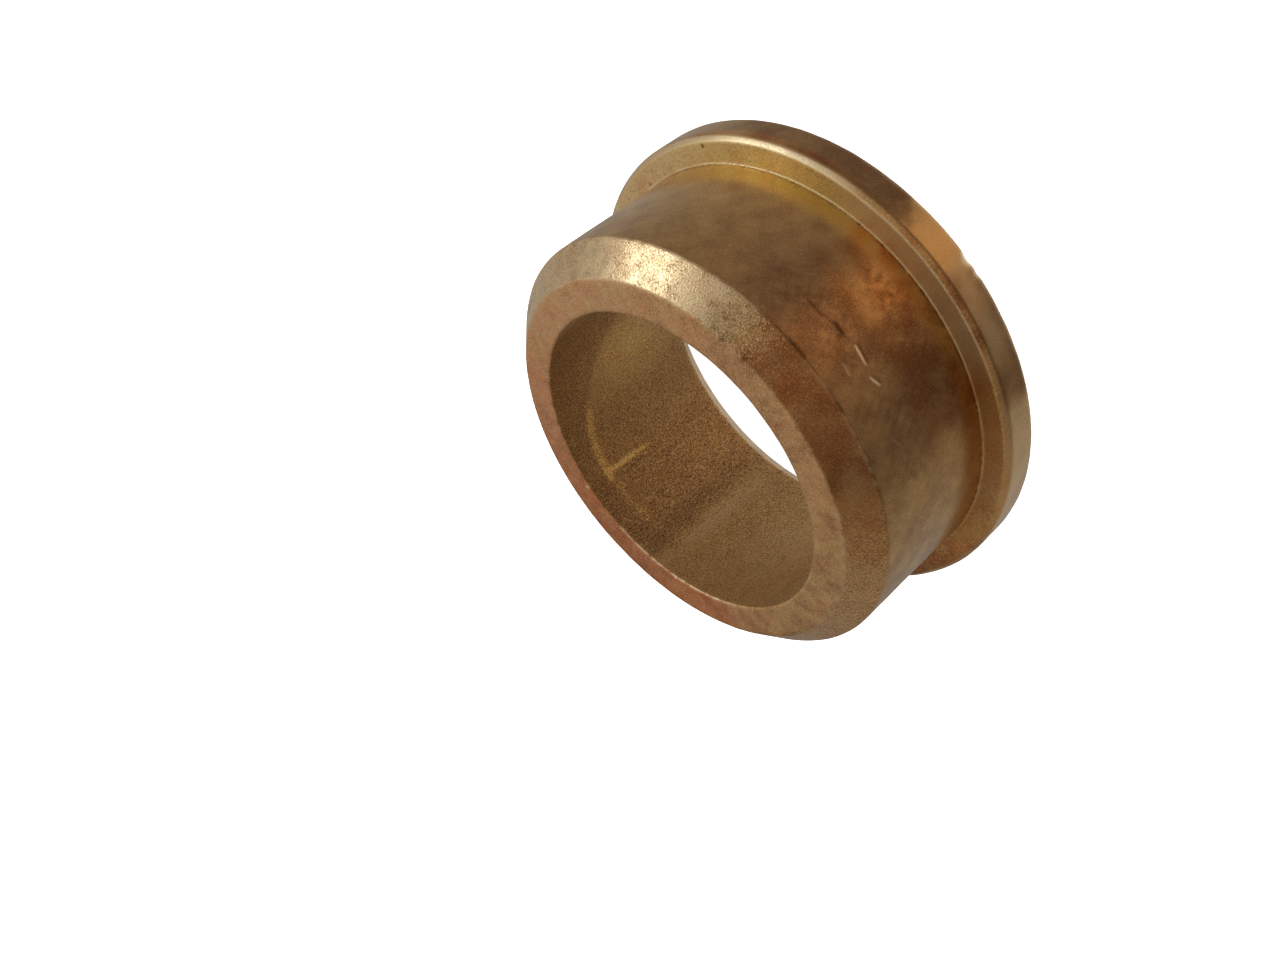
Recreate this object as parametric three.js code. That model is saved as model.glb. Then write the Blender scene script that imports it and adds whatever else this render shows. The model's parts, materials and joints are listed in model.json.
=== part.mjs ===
/**
 * Flanged sleeve bushing, in sintered bronze.
 *
 * The whole bushing is one ring: powder pressed in a die, sintered, and sized. A shaft turns
 * in its plain bore, its sleeve is pressed into a housing as far as the flange, and the wide
 * chamfer at the nose leads it into the housing. It has no liner, no seal and no fastener.
 *
 * Frame, in millimetres: the flange's outer face lies on z = 0 with its centre at the origin,
 * and the bore runs along +Z, from the flange to the nose.
 */
import * as THREE from "three";

// Driving dimensions.
const BORE_DIAMETER = 25;
const SLEEVE_WALL = 4.6;
const FLANGE_PROJECTION = 2.1;
const OVERALL_LENGTH = 15.7;
const FLANGE_THICKNESS = 2.8;

// Chamfers, all at 45 degrees, as the length of their two equal sides.
const NOSE_CHAMFER = 2.05;
const BORE_FLANGE_END_CHAMFER = 1.4;
const BORE_NOSE_END_CHAMFER = 0.05;
const FLANGE_FRONT_CHAMFER = 0.4;
const FLANGE_BACK_CHAMFER = 0.05;

// Radii that round a corner off, or fill it in at the foot of the sleeve.
const SEAT_FILLET = 0.15;
const NOSE_ROUND = 0.25;
const EDGE_ROUND = 0.1;

// How finely the ring is cut into flats.
const SEGMENTS_AROUND = 96;
const STEPS_PER_ROUND = 2;

const boreRadius = BORE_DIAMETER / 2;
const sleeveRadius = boreRadius + SLEEVE_WALL;
const flangeRadius = sleeveRadius + FLANGE_PROJECTION;

/** A corner of the section, at a radius and a height, and the radius that rounds it. */
function corner(radius, height, round = 0) {
  return { at: new THREE.Vector2(radius, height), round };
}

/**
 * The bushing's section, anticlockwise from the bore's edge at the flange: out along the
 * flange's outer face, up the outside, in across the nose and down the bore.
 */
function sectionCorners() {
  return [
    corner(boreRadius + BORE_FLANGE_END_CHAMFER, 0),
    corner(flangeRadius - FLANGE_BACK_CHAMFER, 0),
    corner(flangeRadius, FLANGE_BACK_CHAMFER),
    corner(flangeRadius, FLANGE_THICKNESS - FLANGE_FRONT_CHAMFER, EDGE_ROUND),
    corner(flangeRadius - FLANGE_FRONT_CHAMFER, FLANGE_THICKNESS, EDGE_ROUND),
    corner(sleeveRadius, FLANGE_THICKNESS, SEAT_FILLET),
    corner(sleeveRadius, OVERALL_LENGTH - NOSE_CHAMFER, NOSE_ROUND),
    corner(sleeveRadius - NOSE_CHAMFER, OVERALL_LENGTH, NOSE_ROUND),
    corner(boreRadius + BORE_NOSE_END_CHAMFER, OVERALL_LENGTH),
    corner(boreRadius, OVERALL_LENGTH - BORE_NOSE_END_CHAMFER),
    corner(boreRadius, BORE_FLANGE_END_CHAMFER),
  ];
}

/**
 * The points that round one corner: an arc that touches both edges. Its centre lies on the
 * line that halves the corner, and the arc turns as far as the outline turns there.
 */
function roundedCorner(before, here, after) {
  if (here.round === 0) return [here.at];
  const inwards = here.at.clone().sub(before.at).normalize();
  const onwards = after.at.clone().sub(here.at).normalize();
  const turn = Math.atan2(inwards.cross(onwards), inwards.dot(onwards));
  const setBack = here.round * Math.tan(Math.abs(turn) / 2);
  const start = here.at.clone().addScaledVector(inwards, -setBack);
  const toCentre = new THREE.Vector2(-inwards.y, inwards.x).multiplyScalar(Math.sign(turn));
  const centre = start.clone().addScaledVector(toCentre, here.round);
  const points = [];
  for (let step = 0; step <= STEPS_PER_ROUND; step += 1) {
    points.push(start.clone().rotateAround(centre, (turn * step) / STEPS_PER_ROUND));
  }
  return points;
}

/** The section as a closed outline, each of its corners rounded as it asks. */
function sectionOutline(corners) {
  const count = corners.length;
  const outline = corners.flatMap((here, index) => {
    const before = corners[(index + count - 1) % count];
    const after = corners[(index + 1) % count];
    return roundedCorner(before, here, after);
  });
  outline.push(outline[0].clone());
  return outline;
}

/** The ring: the section turned once round the bore's axis, which is then stood up along +Z. */
function makeBushing() {
  const geometry = new THREE.LatheGeometry(sectionOutline(sectionCorners()), SEGMENTS_AROUND);
  geometry.rotateX(Math.PI / 2);
  const bronze = new THREE.MeshStandardMaterial({
    color: 0x8a6238,
    roughness: 0.42,
    metalness: 1.0,
  });
  const bushing = new THREE.Mesh(geometry, bronze);
  bushing.name = "flanged_bushing";
  return bushing;
}

const part = new THREE.Group();
part.add(makeBushing());

export default part;
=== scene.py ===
# %% [markdown]
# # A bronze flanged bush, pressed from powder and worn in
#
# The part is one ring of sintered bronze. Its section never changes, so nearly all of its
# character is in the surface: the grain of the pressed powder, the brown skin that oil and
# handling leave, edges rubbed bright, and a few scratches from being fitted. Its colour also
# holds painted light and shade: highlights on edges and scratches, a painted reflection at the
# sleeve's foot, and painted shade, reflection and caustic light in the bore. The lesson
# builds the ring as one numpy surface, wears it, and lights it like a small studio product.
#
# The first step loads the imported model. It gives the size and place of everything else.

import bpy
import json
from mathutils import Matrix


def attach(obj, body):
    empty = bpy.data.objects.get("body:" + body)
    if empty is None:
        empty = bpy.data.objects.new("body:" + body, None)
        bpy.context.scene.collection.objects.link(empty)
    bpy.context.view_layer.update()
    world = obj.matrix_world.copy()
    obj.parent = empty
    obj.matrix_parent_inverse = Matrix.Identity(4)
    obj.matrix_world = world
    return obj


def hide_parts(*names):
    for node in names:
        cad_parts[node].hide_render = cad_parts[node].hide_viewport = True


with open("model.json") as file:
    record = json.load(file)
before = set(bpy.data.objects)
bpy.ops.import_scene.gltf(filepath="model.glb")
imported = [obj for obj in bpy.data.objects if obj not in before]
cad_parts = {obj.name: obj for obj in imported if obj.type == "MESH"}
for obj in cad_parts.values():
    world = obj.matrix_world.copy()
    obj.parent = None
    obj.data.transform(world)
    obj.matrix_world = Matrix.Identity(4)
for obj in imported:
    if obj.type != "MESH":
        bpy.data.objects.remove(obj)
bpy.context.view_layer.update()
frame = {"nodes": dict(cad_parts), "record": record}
print("The fixed model's nodes:", list(frame["nodes"]))

# %% [markdown]
# ## Units
#
# Blender measures in metres, but a bush is drawn in millimetres. So sizes are written in
# millimetres, and they are multiplied by MM where they are handed to Blender.

# %% Libraries and units
import json
import math

import bpy
import numpy as np
from mathutils import Matrix, Vector

MM = 0.001

# %% [markdown]
# ## The camera
#
# The camera comes first, because every later choice is judged through it. It is a close,
# hand-held view: from above the nose, looking down into the bore, and rolled far over, so
# that the upright bush lies across the picture. It could be placed by hand with a
# constraint, but a distance, two angles and a roll say the same thing in four numbers.

# %% Place the camera
CAMERA_DISTANCE = 104.66 * MM
CAMERA_HEIGHT_ANGLE = math.radians(37.74)
LOOK_RIGHT = math.radians(0.522)
LOOK_DOWN = math.radians(28.843)
ROLL = math.radians(-129.127)
LENS = 37.81
SENSOR_WIDTH = 36.0
NEAREST_SEEN = 5 * MM
FARTHEST_SEEN = 10.0

camera_data = bpy.data.cameras.new("camera")
camera_data.lens = LENS
camera_data.sensor_width = SENSOR_WIDTH
camera_data.clip_start = NEAREST_SEEN
camera_data.clip_end = FARTHEST_SEEN
camera = bpy.data.objects.new("camera", camera_data)
camera_place = CAMERA_DISTANCE * Vector(
    (0.0, -math.cos(CAMERA_HEIGHT_ANGLE), math.sin(CAMERA_HEIGHT_ANGLE))
)
camera.matrix_world = (
    Matrix.Translation(camera_place)
    @ Matrix.Rotation(-LOOK_RIGHT, 4, "Z")
    @ Matrix.Rotation(math.pi / 2 - LOOK_DOWN, 4, "X")
    @ Matrix.Rotation(ROLL, 4, "Z")
)
bpy.context.collection.objects.link(camera)
bpy.context.scene.camera = camera
print("Camera at, in mm:", np.round(np.array(camera_place) / MM, 1).tolist())

# %% [markdown]
# ## The section, read from the solid
#
# The model is a ring with flats, and each corner of its section repeats round the axis. So
# the section is not stated again here. It is read from the solid: every corner, as a radius
# and a height, is kept once. The sleeve and the flange share a square of metal, and from the
# middle of that square the whole outline is in sight, so sorting by the angle of sight puts
# the corners in order round it.

# %% Read the section
bush_node = frame["nodes"]["flanged_bushing"]
solid = np.empty(len(bush_node.data.vertices) * 3)
bush_node.data.vertices.foreach_get("co", solid)
solid = solid.reshape(-1, 3) / MM
rings = np.unique(
    np.round(np.c_[np.hypot(solid[:, 0], solid[:, 1]), solid[:, 2]], 2), axis=0
)
seat_mount = next(m for m in frame["record"]["mounts"] if m["name"] == "flange_seat")
FLANGE_TOP = seat_mount["pos_m"][2] / MM
LENGTH = rings[:, 1].max()
BORE_R = rings[:, 0].min()
FLANGE_R = rings[:, 0].max()
SLEEVE_R = rings[rings[:, 1] > LENGTH / 2, 0].max()
MID_WALL = (BORE_R + SLEEVE_R) / 2

lookout = np.array([MID_WALL, FLANGE_TOP / 2])
sight = rings - lookout
outline = rings[np.argsort(np.arctan2(sight[:, 1], sight[:, 0]))]
print(f"{len(outline)} corners; bore {2 * BORE_R:.2f}, sleeve {2 * SLEEVE_R:.2f},",
      f"flange {2 * FLANGE_R:.2f}, length {LENGTH:.2f} mm")

# %% [markdown]
# ## Even steps, and edges softened by a blur
#
# A pressed and handled part has no knife edges. A bevel modifier could round them, but the
# rounding should change along each edge, where the part was knocked or rubbed. Blurring the
# outline along its own length rounds every corner and leaves straight runs where they are,
# and two blurs, one slight and one heavier, can be mixed from place to place.

# %% Walk the outline in even steps and soften it
WALK = 6000
CRISP = 0.015
WORN = 0.07


def walk_evenly(corners, count):
    """Points at equal distances along a closed outline: each is found by its share of the
    whole length, between the two corners that it falls between. Returns them and the length."""
    closed = np.vstack([corners, corners[:1]])
    run = np.r_[0, np.cumsum(np.hypot(*np.diff(closed, axis=0).T))]
    place = np.arange(count) * run[-1] / count
    stepped = np.c_[np.interp(place, run, closed[:, 0]), np.interp(place, run, closed[:, 1])]
    return stepped, run[-1]


def blur_along(values, length, spread):
    """A closed row of values, each replaced by the average of its neighbours, weighted by a
    bell curve of the given spread. It is worked out as a product with the bell curve's
    transform, exp(-2 (pi spread k / length)^2), for k waves round the outline."""
    k = np.fft.fftfreq(len(values), 1 / len(values))
    bell = np.exp(-2 * (np.pi * spread * k / length) ** 2)
    return np.real(np.fft.ifft(np.fft.fft(values, axis=0).T * bell).T)


walk, PERIMETER = walk_evenly(outline, WALK)
crisp_walk = blur_along(walk, PERIMETER, CRISP)
worn_walk = blur_along(walk, PERIMETER, WORN)
print(f"The section is {PERIMETER:.1f} mm round, in {WALK} steps")

# %% [markdown]
# ## Which face is which
#
# Each face of the real bush was made by a different tool, so each has its own finish: the
# bore by the core rod, the sleeve and the rim by the die, the nose by a punch. Marks and
# colours are placed by face, so the walk is labelled with the faces it crosses: first the
# plain ones, then the slopes between them, by the quarter of the section that they lie in.
# The labels are blurred a little, because a finish fades across an edge.

# %% Label the faces
TOUCH = 0.03
LABEL_BLUR = 0.06
radius, height = walk.T
faces = {
    "bore": np.abs(radius - BORE_R) < TOUCH,
    "nose": np.abs(height - LENGTH) < TOUCH,
    "sleeve": (np.abs(radius - SLEEVE_R) < TOUCH) & (height > FLANGE_TOP + TOUCH),
    "seat": (np.abs(height - FLANGE_TOP) < TOUCH) & (radius > SLEEVE_R),
    "rim": np.abs(radius - FLANGE_R) < TOUCH,
    "back": height < TOUCH,
}
sloping = ~np.any(list(faces.values()), axis=0)
nose_half = height > LENGTH / 2
outer_half = radius > MID_WALL
faces["nose_chamfer"] = sloping & nose_half & outer_half
faces["bore_chamfer"] = sloping & ~nose_half & ~outer_half
faces["flange_edge"] = sloping & (radius > (SLEEVE_R + FLANGE_R) / 2)
labels = {name: blur_along(on.astype(float), PERIMETER, LABEL_BLUR) for name, on in faces.items()}
for name, on in faces.items():
    print(f"{name:13s}{on.sum() * PERIMETER / WALK:6.2f} mm")

# %% [markdown]
# ## Where the surface needs points
#
# An even grid would spend most of its points on plain metal. The rows are packed close at
# the edges and along the scratched stretch of the sleeve, and the columns are packed close
# on the scratched side and at the lone pits. The way to do that is to say how many points
# each place deserves, add that up along the walk, and step evenly through the sum.

# %% Where the pits and scratches lie
SCRATCH_ANGLE = 262.0
SCRATCH_HALF_WIDTH = 17.0
SCRATCH_HEIGHTS = (9.2, 12.2)
LONE_PITS = [
    # angle, then height on the sleeve or radius on the seat, half-width and depth, in mm
    ((330.0, 18.50), 0.13, 0.09),
    ((354.0, 17.50), 0.12, 0.08),
    ((206.5, 8.20), 0.09, 0.04),
]
SCRATCHED_SIDE_PITS = [
    ((275.8, 7.20), 0.10, 0.03),
    ((271.8, 9.20), 0.13, 0.03),
    ((268.8, 5.15), 0.09, 0.03),
]
print(f"{len(LONE_PITS) + len(SCRATCHED_SIDE_PITS)} pits, and scratches at {SCRATCH_ANGLE} degrees")

# %% Choose the rows and the columns
ROWS = 168
COLUMNS = 588
ROW_NEED = {"plain": 1.7, "edges": 2.6, "scratches": 5.2, "nose_chamfer": 1.6, "seat": 3.5}
EDGE_REACH = 0.12
COLUMN_NEED = {"plain": 1.0, "scratches": 2.6, "pit": 5.0}
FINE_STEPS = 7200


def spread_by_need(need, count):
    """Places, as shares of the whole, such that each holds the same part of the need: the
    inverse of the running total of need."""
    total = np.r_[0, np.cumsum(need)]
    share = (np.arange(count) + 0.5) / count
    return np.interp(share, total / total[-1], np.linspace(0, 1, len(total)))


heading = np.unwrap(np.arctan2(*np.gradient(crisp_walk, axis=0).T))
bend = np.abs(np.gradient(heading)) * WALK / PERIMETER
scratched_rows = (height > SCRATCH_HEIGHTS[0]) & (height < SCRATCH_HEIGHTS[1])
row_need = (
    ROW_NEED["plain"]
    + ROW_NEED["edges"] * blur_along(np.sqrt(bend), PERIMETER, EDGE_REACH).clip(0)
    + ROW_NEED["scratches"] * labels["sleeve"] * scratched_rows
    + ROW_NEED["nose_chamfer"] * labels["nose_chamfer"]
    + ROW_NEED["seat"] * labels["seat"]
)
rows = (spread_by_need(row_need, ROWS) * WALK).astype(int)

fine_turn = np.linspace(0, 360, FINE_STEPS, endpoint=False)
off_scratches = ((fine_turn - SCRATCH_ANGLE) / SCRATCH_HALF_WIDTH) ** 6
column_need = COLUMN_NEED["plain"] + COLUMN_NEED["scratches"] / (1 + off_scratches)
for (angle, _), _, _ in LONE_PITS:
    column_need += COLUMN_NEED["pit"] * np.exp(-((fine_turn - angle) ** 2))
angles = 360 * spread_by_need(column_need, COLUMNS)
print(f"{COLUMNS} x {ROWS} points, {2 * COLUMNS * ROWS} triangles")

# %% The grid
section_crisp, section_worn = crisp_walk[rows], worn_walk[rows]
face = {name: label[rows][None, :] for name, label in labels.items()}
along = (rows * PERIMETER / WALK)[None, :]
around = np.radians(angles)[:, None]
print(f"Columns are {np.diff(angles).min():.2f} to {np.diff(angles).max():.2f} degrees apart")

# %% [markdown]
# ## Random ripples that close on themselves
#
# Wear, stain and the slight waviness of sized metal all need a smooth random field over the
# ring. A noise texture could give one, but the ring closes both ways, round the axis and
# round the section, and the field should close with it. A sum of cosine waves does, when
# each makes a whole number of turns both ways.

# %% Ripples
WAVES = 60
RIPPLE_GAIN = 0.8


def ripples(seed, size):
    """A smooth random field over the ring, mostly between -1 and 1, with peaks of about 2 and
    features of about the given size in mm. It is the sum of cosines cos(m a + n s + phase),
    where a goes once round the axis, s once round the section, and m and n are whole numbers
    whose waves are no shorter than the size. The sum is divided by the root of the number of
    waves, which keeps its height, and multiplied by a gain."""
    random = np.random.default_rng(seed)
    most_round = 2 * np.pi * SLEEVE_R / size
    most_along = PERIMETER / size
    m = np.round(random.uniform(-most_round, most_round, WAVES))
    n = np.round(random.uniform(-most_along, most_along, WAVES))
    phase = random.uniform(0, 2 * np.pi, WAVES)
    s = 2 * np.pi * along[0] / PERIMETER
    waves = np.exp(1j * (around * m + phase)) @ np.exp(1j * np.outer(n, s))
    return waves.real / math.sqrt(WAVES) * RIPPLE_GAIN


trial = ripples(1, 4.0)
print(f"Ripples of 4 mm run from {trial.min():.2f} to {trial.max():.2f}")

# %% [markdown]
# ## Ways to say where
#
# Marks, wear and colour all have to be placed on the ring. Object-by-object masks or a
# painted image could do it, but three small helpers are enough, and they read like a
# description: a sector round the ring, a level across it, or a soft patch at one spot.
# Angles count from +X towards +Y, so 270 degrees is the side that faces the camera.

# %% Sector, level and patch
heights, radii = section_crisp[:, 1][None, :], section_crisp[:, 0][None, :]


def smooth(step):
    """A smooth rise from 0 to 1: 3 x^2 - 2 x^3, with x held between 0 and 1."""
    x = np.clip(step, 0, 1)
    return x * x * (3 - 2 * x)


def turned_from(angle):
    """How far each column is from an angle, in degrees, the short way round."""
    return (angles[:, None] - angle + 180) % 360 - 180


def sector(first, last, fade):
    """1 between two angles, in degrees, and 0 outside them, with a fade in degrees at both
    ends: a smooth step of how far the angle is inside the sector."""
    middle, half = (first + last) / 2, (last - first) / 2
    return smooth((half + fade / 2 - np.abs(turned_from(middle))) / fade)


def above(place, fade, across=heights):
    """0 below a height and 1 above it, in mm, with a smooth step as wide as the fade. Given
    the radii instead of the heights, it steps at a radius."""
    return smooth((across - place) / fade + 0.5)


def patch(angle, place, angle_spread, place_spread):
    """A soft patch: a bell round an angle, in degrees, times a bell round a height, in mm."""
    bell = -((turned_from(angle) / angle_spread) ** 2) - ((heights - place) / place_spread) ** 2
    return np.exp(bell)


fading = np.abs(sector(0, 180, 10) - 0.5) < 0.49
print(f"A sector's two fades of 10 degrees cover {fading.sum()} columns")

# %% [markdown]
# ## Marks
#
# Scratches, nicks and pits are real grooves in the mesh, so that they catch the light from
# any side. Each one is a capsule on the unrolled face: a line between two points, deep in the
# middle and falling away over its half-width, with a low bank of pushed-up metal beside it.
# On the sleeve, a point is an angle and a height; on the seat, an angle and a radius.
# The flange's edge was also knocked once, which left a small dent of bare metal with a
# painted glint.

# %% A groove on the unrolled face
END_DEPTH = 0.05


def groove(across, start, end, width, bank=0.25):
    """How deep a groove is, over the whole grid: most along its middle, 0 far from it, and
    below 0 on its banks. The distance d from the line is measured on the unrolled face, where
    an angle counts as its arc at the sleeve. The depth is exp(-(d / width)^2), less a bank
    times the same bell at twice the width. It tapers towards both ends of the line by the root
    of 1 - (2 t - 1)^4, for t from 0 to 1 along it."""
    x, y = np.radians(angles[:, None]) * SLEEVE_R, across
    x0, y0 = np.radians(start[0]) * SLEEVE_R, start[1]
    x1, y1 = np.radians(end[0]) * SLEEVE_R, end[1]
    run = (x1 - x0) ** 2 + (y1 - y0) ** 2
    t = np.clip(((x - x0) * (x1 - x0) + (y - y0) * (y1 - y0)) / run, 0, 1)
    distance = np.hypot(x - x0 - t * (x1 - x0), y - y0 - t * (y1 - y0))
    taper = np.sqrt(np.clip(1 - (2 * t - 1) ** 4, END_DEPTH, 1))
    bell = np.exp(-((distance / width) ** 2))
    return taper * (bell - bank * np.exp(-((distance / (2 * width)) ** 2)))


trial = groove(heights, (260, 10), (264, 10), 0.1)
print(f"A groove 0.1 mm wide is held by {(trial > 0.1).sum()} points")

# %% Cut the scratches
SCRATCHES = [
    # start (angle, height), end (angle, height), half-width, depth, all in mm but the angle
    ((279.3, 10.55), (274.3, 10.65), 0.09, 0.020),
    ((272.3, 10.15), (268.7, 10.26), 0.14, 0.055),
    ((265.7, 9.95), (260.8, 10.16), 0.085, 0.040),
    ((258.4, 10.42), (255.6, 10.06), 0.095, 0.040),
    ((264.3, 11.60), (261.2, 11.68), 0.09, 0.016),
    ((244.3, 11.10), (241.0, 10.50), 0.09, 0.016),
]
scratched = np.zeros((COLUMNS, ROWS))
for start, end, width, depth in SCRATCHES:
    scratched += depth * groove(heights, start, end, width)
scratched *= face["sleeve"]
print(f"Deepest scratch {scratched.max():.3f} mm")

# %% Sink the pits and the knock
PIT_HALF_ANGLE = 0.2
KNOCK_DEPTH = 0.11
KNOCK_REACH = 0.35
pitted = np.zeros((COLUMNS, ROWS))
for (angle, place), width, depth in LONE_PITS + SCRATCHED_SIDE_PITS:
    on_seat = place > LENGTH  # no height is more than the length, so this is a radius
    across, where = (radii, face["seat"]) if on_seat else (heights, face["sleeve"])
    start, end = (angle - PIT_HALF_ANGLE, place), (angle + PIT_HALF_ANGLE, place)
    pitted += depth * where * groove(across, start, end, width, bank=0)

two_dents = patch(265.0, 0, 1.5, 0.30) + 0.6 * patch(261.6, 0, 0.9, 0.22)
knock = two_dents * above(FLANGE_R - KNOCK_REACH, 0.3, radii)
print(f"Deepest pit {pitted.max():.3f} mm, knocked edge {KNOCK_DEPTH * knock.max():.3f} mm")

# %% [markdown]
# ## The worn surface
#
# Now the pieces come together. A point starts on the section, which is crisp in some places
# and worn in others, is pushed in by the marks, and is then carried round the axis. Slight
# waves, one or two hundredths of a millimetre high, stand for metal that was pressed to size
# and not turned. The back face takes no waves, so that the ring lies flat.

# %% Shape the ring
USUAL_WEAR = 0.35
LONG_WAVE = 0.008
SHORT_WAVE = 0.004
edge_wear = np.clip(USUAL_WEAR + 0.45 * ripples(7, 6.0) + 0.3 * ripples(8, 1.6), 0, 1)[..., None]
wave = LONG_WAVE * ripples(11, 5.0) + SHORT_WAVE * ripples(12, 1.6)
sink = scratched + pitted + KNOCK_DEPTH * knock - wave * (1 - face["back"])

tangent = np.gradient(crisp_walk, axis=0)[rows]
outward = np.c_[tangent[:, 1], -tangent[:, 0]] / np.hypot(*tangent.T)[:, None]
section = section_crisp[None] * (1 - edge_wear) + section_worn[None] * edge_wear
section = section - sink[..., None] * outward[None]
points = np.stack(
    [section[..., 0] * np.cos(around), section[..., 0] * np.sin(around), section[..., 1]],
    axis=-1,
)
print(f"Waves of up to {np.abs(wave).max():.3f} mm, edges worn by {edge_wear.mean():.2f} on average")

# %% Make the mesh
def ring_faces(columns, rows_count):
    """The quads of a grid that closes both ways: each joins a point to the next in its
    column, the next column and both, counted round so that the faces look outward."""
    i, j = np.meshgrid(np.arange(columns), np.arange(rows_count), indexing="ij")
    here, beyond = i * rows_count, (i + 1) % columns * rows_count
    j_next = (j + 1) % rows_count
    corners = [here + j, beyond + j, beyond + j_next, here + j_next]
    return np.stack(corners, axis=-1).reshape(-1, 4)


def mesh_object(name, positions, quads):
    """A smooth-shaded mesh of quads, from points in mm, as an object at the origin."""
    mesh = bpy.data.meshes.new(name)
    mesh.from_pydata((positions.reshape(-1, 3) * MM).tolist(), [], quads.tolist())
    mesh.polygons.foreach_set("use_smooth", np.ones(len(mesh.polygons), dtype=bool))
    mesh.update()
    made = bpy.data.objects.new(name, mesh)
    bpy.context.collection.objects.link(made)
    return made


bush = mesh_object("worn_bush", points, ring_faces(COLUMNS, ROWS))
first_face = bush.data.polygons[0]
print("First face's normal:", np.round(first_face.normal, 2).tolist(),
      "at, in mm:", np.round(np.array(first_face.center) / MM, 1).tolist())

# %% [markdown]
# ## Colour and finish, as amounts on the surface
#
# The bronze is one metal, but its skin differs by face and by place. A painted texture could
# hold that, but it would be tied to one unwrapping and one sharpness. Here each property is
# an amount from 0 to 1, worked out on the same grid as the shape. An amount is written as a
# sum, one term to a line: how much, and where. First come the shares of each face and the
# random clouds that several of the amounts use.

# %% Shares of each face
sleeve, rim, nose, seat = face["sleeve"], face["rim"], face["nose"], face["seat"]
chamfer, bore, flange_edge = face["nose_chamfer"], face["bore"], face["flange_edge"]
back, bore_chamfer = face["back"], face["bore_chamfer"]
mottle = ripples(21, 2.2)
fine_mottle = ripples(22, 0.8)
foot = 1 - above(4.6, 1.4)
ground_side = sector(285, 385, 14)
red_side = sector(236, 283, 10)
print(f"Half of the sleeve's foot is below {heights[0][np.argmin(np.abs(foot[0] - 0.5))]:.1f} mm")

# %% [markdown]
# ## The brown skin
#
# Oil bakes onto bronze as a brown film. It is thickest where nothing rubs: the sleeve near
# its foot and the rim. It is thin where the bush was handled or ground, and it breaks up into
# cloudy mottles. Each face gets its even share, then patches that add to it or wipe it off.
# The same amount also holds painted light and shade. Less of it at one side of the sleeve's
# foot is a painted reflection, and in the bore it holds painted shade and light.

# %% Tarnish on the sleeve
orange_patch = patch(271, 5.6, 5, 1.5)
sleeve_tarnish_and_shading = (
    0.52
    # darker clouds beside and above the orange patch
    + 0.34 * patch(247, 5.6, 9, 2.6)
    + 0.25 * patch(284, 9.5, 6, 4.5)
    + 0.35 * sector(250, 266, 5) * (1 - above(8.5, 3.0)) * above(4.4, 1.0)
    + 0.30 * sector(261, 279, 5) * above(8.4, 1.5)
    + 0.10 * patch(262, 9.0, 14, 1.2)
    + 0.20 * patch(271, 8.0, 4, 1.0)
    # at the foot, a painted reflection of the seat, and thinner along both flanks
    - 0.60 * foot * sector(275, 400, 30)
    - 0.24 * sector(190, 234, 8) * (1 - above(6.8, 2.5))
    - 0.20 * sector(300, 350, 22) * (1 - above(9.0, 3.5))
    - 0.14 * patch(289, 6.0, 7, 2.2)
    - 0.16 * patch(328, 5.6, 22, 1.6)
    - 0.08 * sector(320, 352, 14)
    # worn through in specks
    - orange_patch * (0.08 + 0.48 * ripples(41, 0.7))
)
print(f"The sleeve's tarnish is {sleeve_tarnish_and_shading.min():.2f} to {sleeve_tarnish_and_shading.max():.2f}")

# %% Tarnish on the rim
# A clean band ends at a ragged edge that leans a little as it crosses the rim.
band_edge = 277.5 + 3.0 * (1 - above(1.5, 1.6)) + 1.2 * ripples(45, 1.1)
clean_band = np.clip((band_edge - angles[:, None]) / 3 + 0.5, 0, 1) * sector(264, 300, 4)
rim_tarnish = (
    0.62
    + 0.28 * sector(280, 302, 5)
    + 0.24 * sector(302, 328, 12)
    - 0.60 * sector(180, 235, 6)
    - 0.50 * sector(243, 263, 5)
    + 0.35 * sector(241, 262, 6) * (1 - above(0.8, 0.6))
    - 0.66 * clean_band
    - 0.18 * sector(320, 350, 12)
    - 0.35 * sector(308, 328, 8) * above(1.75, 0.5)
)
print(f"The rim's tarnish is {rim_tarnish.min():.2f} to {rim_tarnish.max():.2f}")

# %% Tarnish on the seat, the nose and the slopes
seat_tarnish = 0.80 * sector(130, 184, 22) + 0.18 * sector(186, 225, 20)
nose_tarnish = (
    0.10
    + 0.22 * sector(50, 122, 24)
    + 0.18 * sector(150, 228, 24)
    + 0.15 * sector(250, 298, 20)
    - 0.13 * sector(320, 372, 20)
    + 0.16 * ripples(62, 0.9)
)
chamfer_tarnish = (
    0.32
    - 0.27 * ground_side
    + 0.34 * sector(275, 293, 10)
    + 0.12 * sector(6, 30, 12)
    + 0.48 * sector(238, 262, 8)
    + 0.56 * sector(262, 277, 10)
    + ground_side * (0.20 * ripples(51, 1.5) + 0.14 * ripples(52, 0.6))
)
edge_tarnish = (
    0.50 * sector(160, 204, 12) + 0.50 * sector(248, 288, 12) + 0.22 * sector(236, 266, 10)
)
print(f"The nose's tarnish is {nose_tarnish.min():.2f} to {nose_tarnish.max():.2f}")

# %% All tarnish outside the bore
outside = (
    sleeve * sleeve_tarnish_and_shading
    + rim * rim_tarnish
    + seat * seat_tarnish
    + nose * nose_tarnish
    + chamfer * chamfer_tarnish
    + flange_edge * edge_tarnish
    + back * (0.30 + 0.22 * ripples(63, 2.4))
    + bore_chamfer * (0.30 + 0.15 * ripples(64, 1.2))
)
freckles = seat * 0.20 * ripples(65, 0.8) + sleeve * 0.09 * ripples(66, 0.7) * sector(190, 290, 20)
clouds = 0.14 * mottle + 0.08 * fine_mottle + freckles
print(f"Mean tarnish outside the bore: {outside.mean():.2f}, clouds of up to {np.abs(clouds).max():.2f}")
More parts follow.
